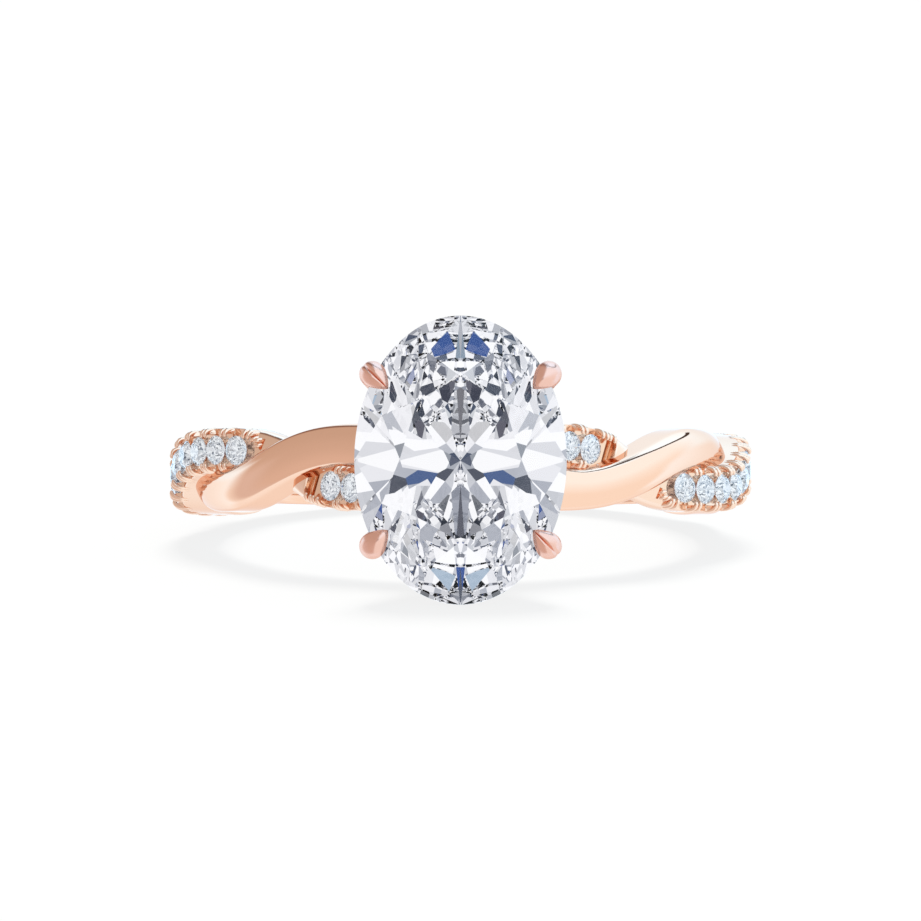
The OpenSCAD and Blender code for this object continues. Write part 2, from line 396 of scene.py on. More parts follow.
def sweep_tree():
    """Sweeps a section along a path: a rounded top above it and a squarer foot below it."""
    tree, given = new_tree("swept section", {
        "Section Steps": ("Int", 48),
        "Top Squareness": ("Float", 2.3),
        "Foot Squareness": ("Float", 10),
        "Bore Radius": ("Float", 0),
        "Material": ("Material", None),
    })
    path = given["Geometry"]
    count = node(tree, "GeometryNodeAttributeDomainSize", {"component": "MESH"},
                 {"Geometry": path}, "Point Count")
    steps = given["Section Steps"] + 1
    grid = node(tree, "GeometryNodeMeshGrid", {},
                {"Size X": 1, "Size Y": 1, "Vertices X": count, "Vertices Y": steps})
    index = node(tree, "GeometryNodeInputIndex", {}, {})
    row = ((index + 0.5) / steps).math("FLOOR")
    turn = (index - row * steps) / given["Section Steps"] * (2 * pi)

    def along_path(value, kind):
        return node(tree, "GeometryNodeSampleIndex", {"data_type": kind, "domain": "POINT"},
                    {"Geometry": path, "Value": value, "Index": row})

    centre = along_path(node(tree, "GeometryNodeInputPosition", {}, {}), "FLOAT_VECTOR")
    across = along_path(named(tree, "across", "FLOAT_VECTOR"), "FLOAT_VECTOR")
    out = along_path(named(tree, "out", "FLOAT_VECTOR"), "FLOAT_VECTOR")
    half = along_path(named(tree, "half_width"), "FLOAT")
    top = along_path(named(tree, "top"), "FLOAT")
    foot = along_path(named(tree, "foot"), "FLOAT")
    c = turn.math("COSINE")
    s = turn.math("SINE")
    above = s.math("GREATER_THAN", 0)
    bend = 2 / (given["Foot Squareness"]
                + (given["Top Squareness"] - given["Foot Squareness"]) * above)
    side = c.math("SIGN") * (c.math("ABSOLUTE") ** bend)
    height = (s.math("ABSOLUTE") ** bend) * (foot + (top - foot) * above)
    place = centre + across * (side * half) + out * height
    # What would reach into the bore is moved out to its wall
    reach = (place * (1.0, 1.0, 0.0)).length()
    grown = (given["Bore Radius"] / reach).math("MAXIMUM", 1)
    x, y, z = place.parts()
    place = node(tree, "ShaderNodeCombineXYZ", {}, {"X": x * grown, "Y": y * grown, "Z": z})
    moved = node(tree, "GeometryNodeSetPosition", {}, {"Geometry": grid, "Position": place})
    merged = node(tree, "GeometryNodeMergeByDistance", {},
                  {"Geometry": moved, "Distance": SEAM})
    end_tree(tree, merged, given["Material"])
    return tree


def smooth_path(spots, steps):
    """Rounded path through spots of any size, with some steps from each to the next."""
    full = [spots[0]] + list(spots) + [spots[-1]]
    path = []
    for p0, p1, p2, p3 in zip(full, full[1:], full[2:], full[3:]):
        for k in range(steps):
            t = k / steps
            path.append(tuple(
                0.5 * (2 * b + (c - a) * t + (2 * a - 5 * b + 4 * c - d) * t * t
                       + (3 * b - a - 3 * c + d) * t ** 3)
                for a, b, c, d in zip(p0, p1, p2, p3)))
    return path + [tuple(spots[-1])]


def path_mesh(name, spots):
    """Points of a path with what the swept section reads at each: a list of dicts."""
    mesh = bpy.data.meshes.new(name)
    mesh.from_pydata([s["at"] for s in spots], [(i, i + 1) for i in range(len(spots) - 1)], [])
    for key in ("across", "out"):
        values = [x for s in spots for x in s[key]]
        mesh.attributes.new(key, "FLOAT_VECTOR", "POINT").data.foreach_set("vector", values)
    for key in ("half_width", "top", "foot"):
        values = [s[key] for s in spots]
        mesh.attributes.new(key, "FLOAT", "POINT").data.foreach_set("value", values)
    return mesh


def with_poles(spots):
    """A path whose ends close to a point."""
    ends = [dict(spots[i], half_width=0, top=0, foot=0) for i in (0, -1)]
    return [ends[0]] + spots + [ends[1]]


def steps_between(lo, hi, pace):
    """Even steps from lo to hi, each about as long as the pace."""
    n = max(1, round((hi - lo) / pace))
    return [lo + (hi - lo) * i / n for i in range(n + 1)]


def point_outwards(mesh):
    """Turns the faces of a closed mesh to its outside."""
    bm = bmesh.new()
    bm.from_mesh(mesh)
    bmesh.ops.recalc_face_normals(bm, faces=bm.faces)
    bm.to_mesh(mesh)
    bm.free()


def swept(name, spots, material, section=64, top=2.3, foot=10, bore=0.0, cutters=None):
    """Piece made by the swept-section tree along a path."""
    mesh = grow(name, path_mesh(name, spots), SWEEP, {
        "Section Steps": section, "Top Squareness": float(top), "Foot Squareness": float(foot),
        "Bore Radius": float(bore), "Material": material})
    mesh.name = name
    point_outwards(mesh)
    if cutters:
        mesh = hollow_out(name, mesh, cutters)
    return add_piece(name, mesh, material)


# The shank

# Beside the head the polished strand is dressed slimmer on its inner side: by how much, and
# the angles between which that starts and ends
DRESSED = 0.06
DRESSED_FROM = (20, 28)
DRESSED_TO = (44, 58)
# Size of the pockets for the stones that reach under this strand, against the stones
POCKET_ROOM = 1.05
# Where the back band starts it is this much sunk and this narrow, as parts of its size
BAND_SUNK = 0.25
BAND_NARROW = 0.55


def polished_strand(material):
    spots = []
    for a in steps_between(-STRAND_END, STRAND_END, pace=0.5):
        slim = DRESSED * ease(abs(a), *DRESSED_FROM) * (1 - ease(abs(a), *DRESSED_TO))
        across = axes_at(a, -1)[1]
        at = line_at(a, -1) - across * copysign(slim, a)
        spots.append({"at": at, "across": across, "out": outward(a),
                      "half_width": STRAND_W / 2 - slim, "top": STRAND_TOP,
                      "foot": BORE_R - hypot(at.x, at.y)})
    near = [turn * a for turn in (1, -1) for a in (HEAD_RUN[0], HEAD_RUN[1], SIDE_RUN[0])]
    pockets = []
    for a in near:
        stone = small_brilliant(POCKET_ROOM)
        along, across, lift = axes_at(a, 1)
        turned = Matrix((along, across, lift)).transposed().to_4x4()
        stone.transform(Matrix.Translation(pave_point(a)) @ turned)
        pockets.append(stone)
    return swept("polished_strand", with_poles(spots), material, bore=BORE_R,
                 cutters=joined("pockets", pockets))


def plain_back_band(material):
    centre = BORE_R + BACK_T / 2
    spots = []
    for a in steps_between(BAND_FROM, 360 - BAND_FROM, pace=1):
        grown = ease(180 - abs(a - 180), BAND_FROM, MERGE_TO)
        r = centre - (1 - grown) * BACK_T * BAND_SUNK
        width = BACK_W * (BAND_NARROW + (1 - BAND_NARROW) * grown)
        spots.append({"at": outward(a) * r, "across": Vector((0, 0, 1)), "out": outward(a),
                      "half_width": width / 2, "top": BACK_T / 2,
                      "foot": BORE_R + BAND_BACK - r})
    return swept("plain_back_band", with_poles(spots), material, bore=BORE_R + BAND_BACK,
                 top=2.6)


# The stone-set strand

# Places across it, from its wall to its middle
WALL_PLACES = (0.77, 0.768, 0.76, 0.745, 0.72, 0.69, 0.66, 0.63, 0.60, 0.575, 0.558, 0.53,
               0.46, 0.38, 0.29, 0.2, 0.1)
# Squareness of its skin, and how much of that it loses where it dives under, between angles
SKIN_SQUARE = 3
SKIN_ROUNDER = 0.9
ROUNDER_FROM = (36, 40)
ROUNDER_TO = (51, 56)
# Squareness of its foot, and the steps across that
FOOT_SQUARE = 10
FOOT_STEPS = 14
# Angle from which its edges and its prongs' edges are sharp
CARVED_CREASE = 40
# Steps along it in degrees, outside the channels and along them
PLAIN_PACE = 0.6
CARVED_PACE = 0.19
# How far the channels' ends lean, in degrees, and their walls, in millimetres
END_LEAN = 0.5
WALL_LEAN = 0.015
# The side channel's rounded end reaches from its start to this angle, and leans more
ROUND_TO = 56
ROUND_LEAN = 0.1
# Groove across the floor of the pocket beside the head: angle, depth and half width, in
# degrees where it is deepest and where it ends
GROOVE_AT = 34.6
GROOVE_DEPTH = 0.12
GROOVE_HALF = (0.25, 0.5)
# Each stone's seat starts this far below its girdle
SEAT_LIP = 0.06
# Notches filed through the walls beside each stone: half width, edge and floor
NOTCH_HALF = 0.3
NOTCH_EDGE = 0.05
NOTCH_FLOOR = 0.28


def in_channel(a):
    """How fully the channel is cut at an angle: 0 outside it, 1 inside."""
    return max(ease(abs(a), lo - END_LEAN, lo) * (1 - ease(abs(a), hi, hi + END_LEAN))
               for lo, hi in (HEAD_CHANNEL, SIDE_CHANNEL))


def skin_height(a, u):
    """Height of the uncut stone-set strand, which is rounder where it dives under."""
    rounder = SKIN_ROUNDER * ease(abs(a), *ROUNDER_FROM) * (1 - ease(abs(a), *ROUNDER_TO))
    p = SKIN_SQUARE - rounder
    return STRAND_TOP * (max(0, 1 - (abs(u) / (STRAND_W / 2)) ** p)) ** (1 / p)


def carved_height(a, u, near_stone):
    """Height of the stone-set strand's skin above its centre line, u across it."""
    u = abs(u)
    skin_h = skin_height(a, u)
    cut = in_channel(a)
    if cut == 0:
        return skin_h
    floor_h = STRAND_TOP - CHANNEL_DEPTH
    floor_h -= GROOVE_DEPTH * (1 - ease(abs(abs(a) - GROOVE_AT), *GROOVE_HALF))
    # The side channel is narrower in its rounded end, and the head's is as wide throughout
    left = max(0, (ROUND_TO - abs(a)) / (ROUND_TO - SIDE_CHANNEL[0]))
    half = CHANNEL_HALF * (1 - left ** 2) ** 0.5 if left < 1 else CHANNEL_HALF
    lean = WALL_LEAN + ROUND_LEAN * (CHANNEL_HALF - half)
    inside = 1 - ease(u, half, half + lean)
    # The floor, with each stone's seat sunk into it
    depth = min(skin_h, floor_h)
    seat = hypot(near_stone, u)
    if seat < PAVE_R:
        well = PAVE_PAVILION * (1 - seat / (PAVE_R + STONE_GAP))
        depth = min(depth, PAVE_H - SEAT_LIP - well)
    level = skin_h + (depth - skin_h) * inside * cut
    # The notch filed through the wall beside each stone
    notch = 1 - ease(near_stone, NOTCH_HALF, NOTCH_HALF + NOTCH_EDGE)
    if u > CHANNEL_HALF and near_stone < NOTCH_HALF + NOTCH_EDGE:
        level = min(level, skin_h + (min(skin_h, NOTCH_FLOOR) - skin_h) * notch * cut)
    return level


def stone_set_strand(material):
    """The strand with its cut channels. At each point it carries how deep it is cut there."""
    places = list(WALL_PLACES) + [0] + [-u for u in reversed(WALL_PLACES)]
    angles = set(steps_between(-STRAND_END, STRAND_END, PLAIN_PACE))
    for lo, hi in (HEAD_CHANNEL, SIDE_CHANNEL):
        fine = steps_between(lo - PLAIN_PACE, hi + PLAIN_PACE, CARVED_PACE)
        angles.update(fine)
        angles.update(-a for a in fine)
    centres = [pave_point(a) for a in STONES]
    bore = BORE_R + CARVED_BACK
    rings = []
    depths = []
    for a in sorted(angles):
        at = line_at(a, 1)
        _, across, lift = axes_at(a, 1)
        spot = pave_point(a)
        near = min((spot - c).length for c in centres)
        foot = bore - hypot(at.x, at.y)
        heights = [carved_height(a, u, near) for u in places]
        ring = [at + across * u + lift * h for u, h in zip(places, heights)]
        # How deep each point is cut, by which the carved material paints shade into its hollows
        shade = [max(0, skin_height(a, u) - h) for u, h in zip(places, heights)]
        # The foot turns from the leaning skin's edge to the bore's wall
        for j in range(1, FOOT_STEPS):
            t = pi * j / FOOT_STEPS
            x = -power(cos(t), 2 / FOOT_SQUARE) * STRAND_W / 2
            ring.append(at + across * x + outward(a) * foot * power(sin(t), 2 / FOOT_SQUARE))
            shade.append(0)
        for p in ring:
            reach = hypot(p.x, p.y)
            if reach < bore:
                p.x *= bore / reach
                p.y *= bore / reach
        rings.append(ring)
        depths.append(shade)
    rings = [[line_at(-STRAND_END, 1)]] + rings + [[line_at(STRAND_END, 1)]]
    mesh = skin("stone_set_strand", rings)
    shades = [0] + [d for ring in depths for d in ring] + [0]
    mesh.attributes.new("recess", "FLOAT", "POINT").data.foreach_set("value", shades)
    return add_piece("stone_set_strand", mesh, material, CARVED_CREASE)


# Prongs that hold the small stones

# How far in from the prong's place, height and radius at each step of its bar
PRONG_PATH = ((-0.06, -0.34, 0.06), (-0.09, -0.1, 0.08), (-0.07, 0.12, 0.085),
              (-0.01, 0.27, 0.085), (0.09, 0.34, 0.075), (0.17, 0.33, 0.05))
# How far its root reaches below the first step, and its tip in and up from the last
PRONG_ROOT = 0.05
PRONG_TIP = (0.035, -0.015)
# A pair of bars stands this far from the strand's middle and above its centre line, and
# each of the two this far from the pair's middle
PRONG_REACH = 0.64
PRONG_LIFT = 0.32
PRONG_APART = 0.105
# One more pair past the head run, this many degrees on
PAST_HEAD = 2.3
# Pairs that close in round the first side stone, by angle and reach, and their size
END_PRONGS = ((52.5, 0.57), (51, 0.4))
END_PRONG_SIZE = 0.85


def prong_shape():
    """One split prong: a slim bar that climbs the wall and hooks over the stone's edge."""
    path = smooth_path(PRONG_PATH, 2)
    sides = 10
    rings = [[Vector((0, path[0][0], path[0][1] - PRONG_ROOT))]]
    for i, (inward, h, half) in enumerate(path):
        ahead, behind = path[min(len(path) - 1, i + 1)], path[max(0, i - 1)]
        along = Vector((0, ahead[0] - behind[0], ahead[1] - behind[1])).normalized()
        up = Vector((1, 0, 0)).cross(along)
        rings.append([Vector((0, inward, h)) + half * (up * sin(2 * pi * j / sides)
                                                       + Vector((cos(2 * pi * j / sides), 0, 0)))
                      for j in range(sides)])
    rings.append([Vector((0, path[-1][0] + PRONG_TIP[0], path[-1][1] + PRONG_TIP[1]))])
    return skin("split_prong", rings)


def rows_tree():
    """Puts a shape at each point, standing along its lift and leaning along its inward."""
    tree, given = new_tree("rows of one shape", {
        "Shape": ("Object", None), "Size": ("Float", 1.0), "Material": ("Material", None)})
    shape = node(tree, "GeometryNodeObjectInfo", {}, {"Object": given["Shape"]}, "Geometry")
    turn = node(tree, "FunctionNodeAxesToRotation", {"primary_axis": "Z", "secondary_axis": "Y"},
                {"Primary Axis": named(tree, "lift", "FLOAT_VECTOR"),
                 "Secondary Axis": named(tree, "inward", "FLOAT_VECTOR")})
    rows = node(tree, "GeometryNodeInstanceOnPoints", {},
                {"Points": given["Geometry"], "Instance": shape, "Rotation": turn,
                 "Scale": given["Size"] * named(tree, "size")})
    end_tree(tree, rows, given["Material"])
    return tree


def point_cloud(name, spots):
    """Points for the prong and stone rows: each is (place, lift, inward, size)."""
    mesh = bpy.data.meshes.new(name)
    mesh.from_pydata([s[0] for s in spots], [], [])
    for k, key in ((1, "lift"), (2, "inward")):
        values = [x for s in spots for x in s[k]]
        mesh.attributes.new(key, "FLOAT_VECTOR", "POINT").data.foreach_set("vector", values)
    values = [s[3] for s in spots]
    mesh.attributes.new("size", "FLOAT", "POINT").data.foreach_set("value", values)
    return mesh


def rows_of(name, spots, shape, material, crease):
    """Piece made of copies of one shape, each at its own spot."""
    sample = bpy.data.objects.new(name + "_one", shape)
    bpy.context.scene.collection.objects.link(sample)
    mesh = grow(name, point_cloud(name, spots), ROWS,
                {"Shape": sample, "Size": 1.0, "Material": material})
    bpy.data.objects.remove(sample)
    mesh.name = name
    return add_piece(name, mesh, material, crease)


def gap_angles(run):
    """Angles midway between the stones of a run, and past both of its ends."""
    lead = (run[1] - run[0]) / 2
    middles = [(a + b) / 2 for a, b in zip(run, run[1:])]
    return [run[0] - lead] + middles + [run[-1] + lead]


def prong_spots():
    """Pairs of prongs between the stones of each run and past its ends, on both walls."""
    spots = []
    places = [(a, PRONG_REACH) for a in gap_angles(HEAD_RUN) + gap_angles(SIDE_RUN)]
    places += [(gap_angles(HEAD_RUN)[0] + PAST_HEAD, PRONG_REACH)]
    places += END_PRONGS
    for a, reach in [(turn * a, reach) for turn in (1, -1) for a, reach in places]:
        _, across, lift = axes_at(a, 1)
        for edge in (1, -1):
            place = line_at(a, 1) + across * edge * reach + lift * PRONG_LIFT
            inward = across * -edge
            size = 1.0
            if reach < PRONG_REACH:
                inward = pave_point(copysign(SIDE_RUN[0], a)) - place
                inward = (inward - lift * inward.dot(lift)).normalized()
                size = END_PRONG_SIZE
            apart = lift.cross(inward) * PRONG_APART
            spots.append((place + apart * size, lift, inward, size))
            spots.append((place - apart * size, lift, inward, size))
    return spots


# The head

# Each step of a claw: its distance from the head's axis and from the finger axis, its half
# width, its squareness, and the depth of the crease along its back, as a part of half its
# width
CLAW_PATH = (
    (0.85, 8.75, 0.5, 2.2, 0), (1.3, 9.5, 0.5, 2.2, 0), (2.2, 10.9, 0.46, 2.2, 0),
    (3.0, 12.0, 0.45, 2.2, 0), (3.55, 12.75, 0.45, 2.2, 0), (3.95, 13.25, 0.45, 2.2, 0),
    (4.12, 13.6, 0.45, 2.1, 0.02), (4.17, 13.9, 0.45, 2.0, 0.08),
    (4.1, 14.13, 0.44, 1.9, 0.15), (3.97, 14.28, 0.4, 1.8, 0.24),
    (3.82, 14.37, 0.33, 1.7, 0.32), (3.66, 14.41, 0.23, 1.6, 0.36),
    (3.52, 14.41, 0.12, 1.5, 0.3))
# Where its point ends, and how far the crease spreads to each side, in degrees
CLAW_POINT = (3.42, 14.375)
CREASE_HALF = 14
CLAW_SIDES = 64
RAIL_STEPS = 128


def claw(right, up):
    """Rings of one claw, from its foot in the shank to its creased point on the stone."""
    c, s = cos(radians(CLAW_TURN)), sin(radians(CLAW_TURN))
    path = smooth_path(CLAW_PATH, 6)
    flat = [Vector((p[0] * c * right, -p[1], p[0] * s * up)) for p in path]
    rings = [[flat[0]]]
    for i, (_, _, half, square, crease) in enumerate(path):
        ahead, behind = flat[min(len(flat) - 1, i + 1)], flat[max(0, i - 1)]
        along = (ahead - behind).normalized()
        back = along.cross(Vector((-s * up, 0, c * right))).normalized() * right * up
        side = along.cross(back)
        ring = []
        for j in range(CLAW_SIDES):
            turn = 2 * pi * j / CLAW_SIDES
            off = degrees(min(turn, 2 * pi - turn))
            reach = half * (1 - crease * max(0, 1 - off / CREASE_HALF))
            ring.append(flat[i] + reach * (back * power(cos(turn), 2 / square)
                                           + side * power(sin(turn), 2 / square)))
        rings.append(ring)
    tip, height = CLAW_POINT
    rings.append([Vector((tip * c * right, -height, tip * s * up))])
    return rings


def four_claws(material):
    whole = joined("four_claws", [skin("claw", claw(right, up))
                                  for right in (1, -1) for up in (1, -1)])
    notched = hollow_out("four_claws", whole, oval_shape(1 + STONE_GAP / OVAL_W))
    return add_piece("four_claws", notched, material)


def gallery_rail(material):
    spots = []
    for i in range(RAIL_STEPS + 1):
        turn = 2 * pi * (i % RAIL_STEPS) / RAIL_STEPS
        wide, long = OVAL_W / 2, OVAL_L / 2
        at = Vector((wide * RAIL_PART * cos(turn), -RAIL_R, long * RAIL_PART * sin(turn)))
        along = Vector((-wide * sin(turn), 0, long * cos(turn))).normalized()
        spots.append({"at": at, "across": Vector((0, 1, 0)).cross(along),
                      "out": Vector((0, -1, 0)), "half_width": RAIL_D / 2,
                      "top": RAIL_D / 2, "foot": -RAIL_D / 2})
    return swept("gallery_rail", spots, material, section=24, top=2, foot=2)


# The stones

# A brilliant's table, the meeting points of its star facets and of its lower facets, as parts
# of its radius, and the angle between its facets
TABLE_R = 0.57
STAR_R = 0.8
LOW_R = 0.23
FACET = 22.5


def brilliant(name, crown, pavilion, girdle, sides):
    """Round brilliant of radius 1, cut facet by facet from a drum, its table up along Z."""
    bm = bmesh.new()
    half = girdle / 2
    top = half + crown
    low = -half - pavilion
    drum = bmesh.ops.create_cone(bm, cap_ends=True, segments=sides, radius1=1, radius2=1,
                                 depth=2 * (crown + pavilion + girdle))
    bmesh.ops.rotate(bm, verts=drum["verts"], matrix=Matrix.Rotation(pi / sides, 3, "Z"))

    def cut(spots):
        a, b, c = (Vector(p) for p in spots)
        normal = (b - a).cross(c - a).normalized()
        if normal.dot(a) < 0:
            normal = -normal
        everything = bm.verts[:] + bm.edges[:] + bm.faces[:]
        done = bmesh.ops.bisect_plane(bm, geom=everything, plane_co=a, plane_no=normal,
                                      clear_outer=True, dist=1e-6)
        edges = [e for e in done["geom_cut"] if isinstance(e, bmesh.types.BMEdge)]
        bmesh.ops.edgenet_fill(bm, edges=edges)

    def ring(r, turn, h):
        return (r * cos(radians(turn)), r * sin(radians(turn)), h)

    bezel = (STAR_R * cos(radians(FACET)) - TABLE_R) / (1 - TABLE_R)
    star_h = half + crown * (1 - bezel)
    low_h = -half - pavilion * (1 - LOW_R * cos(radians(FACET)))
    cut((ring(1, 0, top), ring(1, 90, top), ring(1, 180, top)))
    for k in range(8):
        a = 2 * FACET * k
        star = ring(STAR_R, a + FACET, star_h)
        # Kite facet and star facet of the crown, then main facet of the pavilion
        cut((ring(TABLE_R, a, top), ring(1, a, half), star))
        cut((ring(TABLE_R, a, top), ring(TABLE_R, a + 2 * FACET, top), star))
        cut(((0, 0, low), ring(1, a, -half), ring(LOW_R, a + FACET, low_h)))
    for k in range(16):
        a = FACET * k
        mid = a + (FACET if k % 2 == 0 else 0)
        # Girdle facets, above and below
        cut((ring(1, a, half), ring(1, a + FACET, half), ring(STAR_R, mid, star_h)))
        cut((ring(1, a, -half), ring(1, a + FACET, -half), ring(LOW_R, mid, low_h)))
    bmesh.ops.recalc_face_normals(bm, faces=bm.faces)
    mesh = bpy.data.meshes.new(name)
    bm.to_mesh(mesh)
    bm.free()
    return mesh


def oval_shape(size=1.0):
    mesh = brilliant("oval_brilliant", OVAL_CROWN, OVAL_PAVILION, OVAL_GIRDLE,
                     sides=96)
    mesh.transform(Matrix.Diagonal((OVAL_W / 2 * size, OVAL_L / 2 * size, size, 1)))
    mesh.transform(Matrix.Translation((0, -GIRDLE_R, 0)) @ Matrix.Rotation(pi / 2, 4, "X"))
    return mesh


def small_brilliant(size=1.0):
    mesh = brilliant("small_brilliant", PAVE_CROWN / PAVE_R, PAVE_PAVILION / PAVE_R,
                     PAVE_GIRDLE, sides=32)
    mesh.transform(Matrix.Scale(PAVE_R * size, 4))
    return mesh


def oval_brilliant(material):
    return add_piece("oval_brilliant", oval_shape(), material, 0)


def small_brilliants(material):
    one = small_brilliant()
    spots = []
    for a in STONES:
        _, across, lift = axes_at(a, 1)
        spots.append((pave_point(a), lift, across, 1.0))
    return rows_of("small_brilliants", spots, one, material, 0)


# Materials
def material_of(name):
    """A material, its nodes, its shader and the place in millimetres on the object."""
    made = bpy.data.materials.new(name)
    made.use_nodes = True
    tree = made.node_tree
    shader = tree.nodes["Principled BSDF"]
    spot = Value(tree, tree.nodes.new("ShaderNodeTexCoord").outputs["Object"])
    return made, tree, shader, spot * 1000


def set_shader(shader, **values):
    """Sets or links the shader's inputs, named with underscores for spaces."""
    for key, value in values.items():
        socket = shader.inputs[key.replace("_", " ")]
        if isinstance(value, Value):
            value.tree.links.new(value.socket, socket)
        else:
            socket.default_value = value


def noise(tree, spot, scale, detail=2.0):
    return node(tree, "ShaderNodeTexNoise", {"noise_dimensions": "3D"},
                {"Vector": spot, "Scale": scale, "Detail": detail})


def mix(tree, part, a, b):
    return node(tree, "ShaderNodeMix", {"data_type": "RGBA"},
                {"Factor": part, "A": a, "B": b}, "Result")


def step(value, lo, hi, most=1.0):
    """Smooth step of a node's value, from 0 at lo to the most at hi."""
    return node(value.tree, "ShaderNodeMapRange", {"interpolation_type": "SMOOTHSTEP"},
                {"Value": value, "From Min": lo, "From Max": hi, "To Max": most})


def between(value, rise, fall):
    """Soft band of a node's value: each edge is the pair of values it reaches between."""
    return step(value, *rise) * (1 - step(value, *fall))


# Rose gold for the polished, filed and carved parts, where a darker, pinker copy on the filed
# claws is painted shade and a paler copy on the carved parts is painted light; and the painted
# shade in the channel's corners
ROSE = (0.93, 0.58, 0.42, 1)
# A darker, pinker copy of the rose gold: painted shade on the claws
SHADED_PINK_ROSE = (0.86, 0.5, 0.4, 1)
# A paler copy of the rose gold: painted light on the carved strand and its prongs
LIT_PALE_ROSE = (0.94, 0.65, 0.5, 1)
# Painted shade in the channel's corners, and darker painted shade in its deepest hollows
CORNER_PAINTED_SHADE = (0.88, 0.58, 0.41, 1)
DEEP_PAINTED_SHADE = (0.45, 0.22, 0.12, 1)
ROSE_SHEEN = (0.88, 0.68, 0.58, 1)


def rose_gold(name, rough, worn, metal=ROSE, paints_recess_shade=False):
    """14 carat rose gold: faint waves of the buff, hairlines and colour drift."""
    made, tree, shader, spot = material_of(name)
    drift = noise(tree, spot, 0.35)
    waves = noise(tree, spot, 0.9)
    hairs = noise(tree, spot * (1.0, 1.0, 14.0), 5, 3.0)
    tone = mix(tree, drift, metal, (metal[0] * 0.99, metal[1] * 0.975, metal[2] * 0.965, 1))
    if paints_recess_shade:
        # Painted shade: the base colour darkens with how deep the channel is cut, a little in
        # its corners and most in its deepest hollows, while the buffed edges stay light
        deep = node(tree, "ShaderNodeAttribute", {"attribute_name": "recess"}, {}, "Fac")
        tone = mix(tree, step(deep, 0.03, 0.3, 0.85), tone, CORNER_PAINTED_SHADE)
        tone = mix(tree, step(deep, 0.32, 0.42, 0.8), tone, DEEP_PAINTED_SHADE)
    bump = node(tree, "ShaderNodeBump", {}, {"Strength": 0.06, "Distance": 0.00002,
                                             "Height": waves + hairs * worn})
    set_shader(shader, Base_Color=tone, Metallic=1.0, Roughness=rough + hairs * 0.03,
               Specular_Tint=ROSE_SHEEN, Normal=bump)
    return made


def diamond(name, clouds, sheen, tint):
    """Colourless diamond with the faintest of clouds in it, and the tint of its sheen."""
    made, tree, shader, spot = material_of(name)
    haze = noise(tree, spot, clouds)
    tone = mix(tree, haze, (1, 1, 1, 1), tint)
    set_shader(shader, Base_Color=tone, Roughness=0.0, IOR=2.42, Transmission_Weight=1.0,
               Specular_Tint=sheen)
    return made


# The studio

# What is seen through the stones is broken into cells: their tones in front and behind
FRONT_TONES = ((0.0, 0.05, 0.06, 0.09), (0.07, 0.13, 0.15, 0.21), (0.14, 0.44, 0.46, 0.52),
               (0.32, 0.68, 0.69, 0.73), (0.55, 0.86, 0.86, 0.9), (0.8, 1.0, 1.0, 1.03))
BEHIND_TONES = ((0.0, 0.015, 0.02, 0.03), (0.3, 0.05, 0.06, 0.09), (0.45, 0.25, 0.26, 0.3),
                (0.7, 0.55, 0.56, 0.6), (0.85, 1.0, 1.0, 1.03))
# Single cards: azimuth from the camera's side either way, elevation, radius and colour
STONE_CARDS = (
    (163, 12, 7, (0.035, 0.085, 0.3)), (0, 11, 9, (0.98, 0.98, 1.0)),
    (26, -36, 4, (0.05, 0.06, 0.09)), (9, 31, 4.5, (0.06, 0.11, 0.26)),
    (162, -26, 5, (0.4, 0.5, 0.62)), (35, -14, 5, (0.06, 0.08, 0.13)),
    (180, 25, 7, (0.1, 0.1, 0.12)), (180, -38, 3, (0.05, 0.055, 0.08)),
    (170, -13, 4, (0.12, 0.13, 0.16)), (45, 58, 5, (0.1, 0.11, 0.13)),
    (3, -37, 5, (0.6, 0.6, 0.62)), (21, 37, 4.5, (0.08, 0.09, 0.12)),
    (37, 32, 6, (0.4, 0.42, 0.47)), (128, -32, 7, (0.1, 0.1, 0.13)),
    (176, -8, 5, (0.62, 0.64, 0.68)), (96, 40, 7, (0.3, 0.31, 0.35)),
    (24, 0, 5, (0.3, 0.32, 0.36)), (158, -42, 4, (0.3, 0.32, 0.38)),
    (171, -38, 3, (0.05, 0.055, 0.08)), (93, 43, 4, (0.12, 0.13, 0.17)))
CARD_EDGE = 0.5
# White sheets low in the corners behind, on the left and on the right: the azimuths that
# each edge reaches between, the elevations likewise, and the colour
WHITE_SHEETS = (((-172, -160), (-132, -120), (-55, -35), (-2, 6), (1.14, 1.56, 1.92, 1)),
                ((88, 106), (148, 160), (-45, -25), (-4, 6), (1.1, 1.48, 1.8, 1)))
# The round lamp's place, its edge, and its rim's middle and width, in degrees off its middle
LAMP = (0.293, 0.593, 0.75)
LAMP_EDGE = (18, 21)
RIM_AT = 20.8
RIM_HALF = (2.2, 3.6)
# The dim place round the camera
WATCHER = (0, -0.99, 0.143)
WATCHER_EDGE = (9, 15)


def degrees_off(way, direction):
    """Angle in degrees between what is looked at and a direction."""
    return way.dot(direction).math("ARCCOSINE") * degrees(1)


def broken(tree, way, scale, tones):
    """Cells of flat tone, each tone with its place on the ramp first."""
    cells = node(tree, "ShaderNodeTexVoronoi", {"feature": "F1"},
                 {"Vector": way, "Scale": scale}, "Color")
    return node(tree, "ShaderNodeValToRGB",
                {"stops": [(place, (r, g, b, 1)) for place, r, g, b in tones]},
                {"Fac": node(tree, "ShaderNodeSeparateColor", {}, {"Color": cells})})


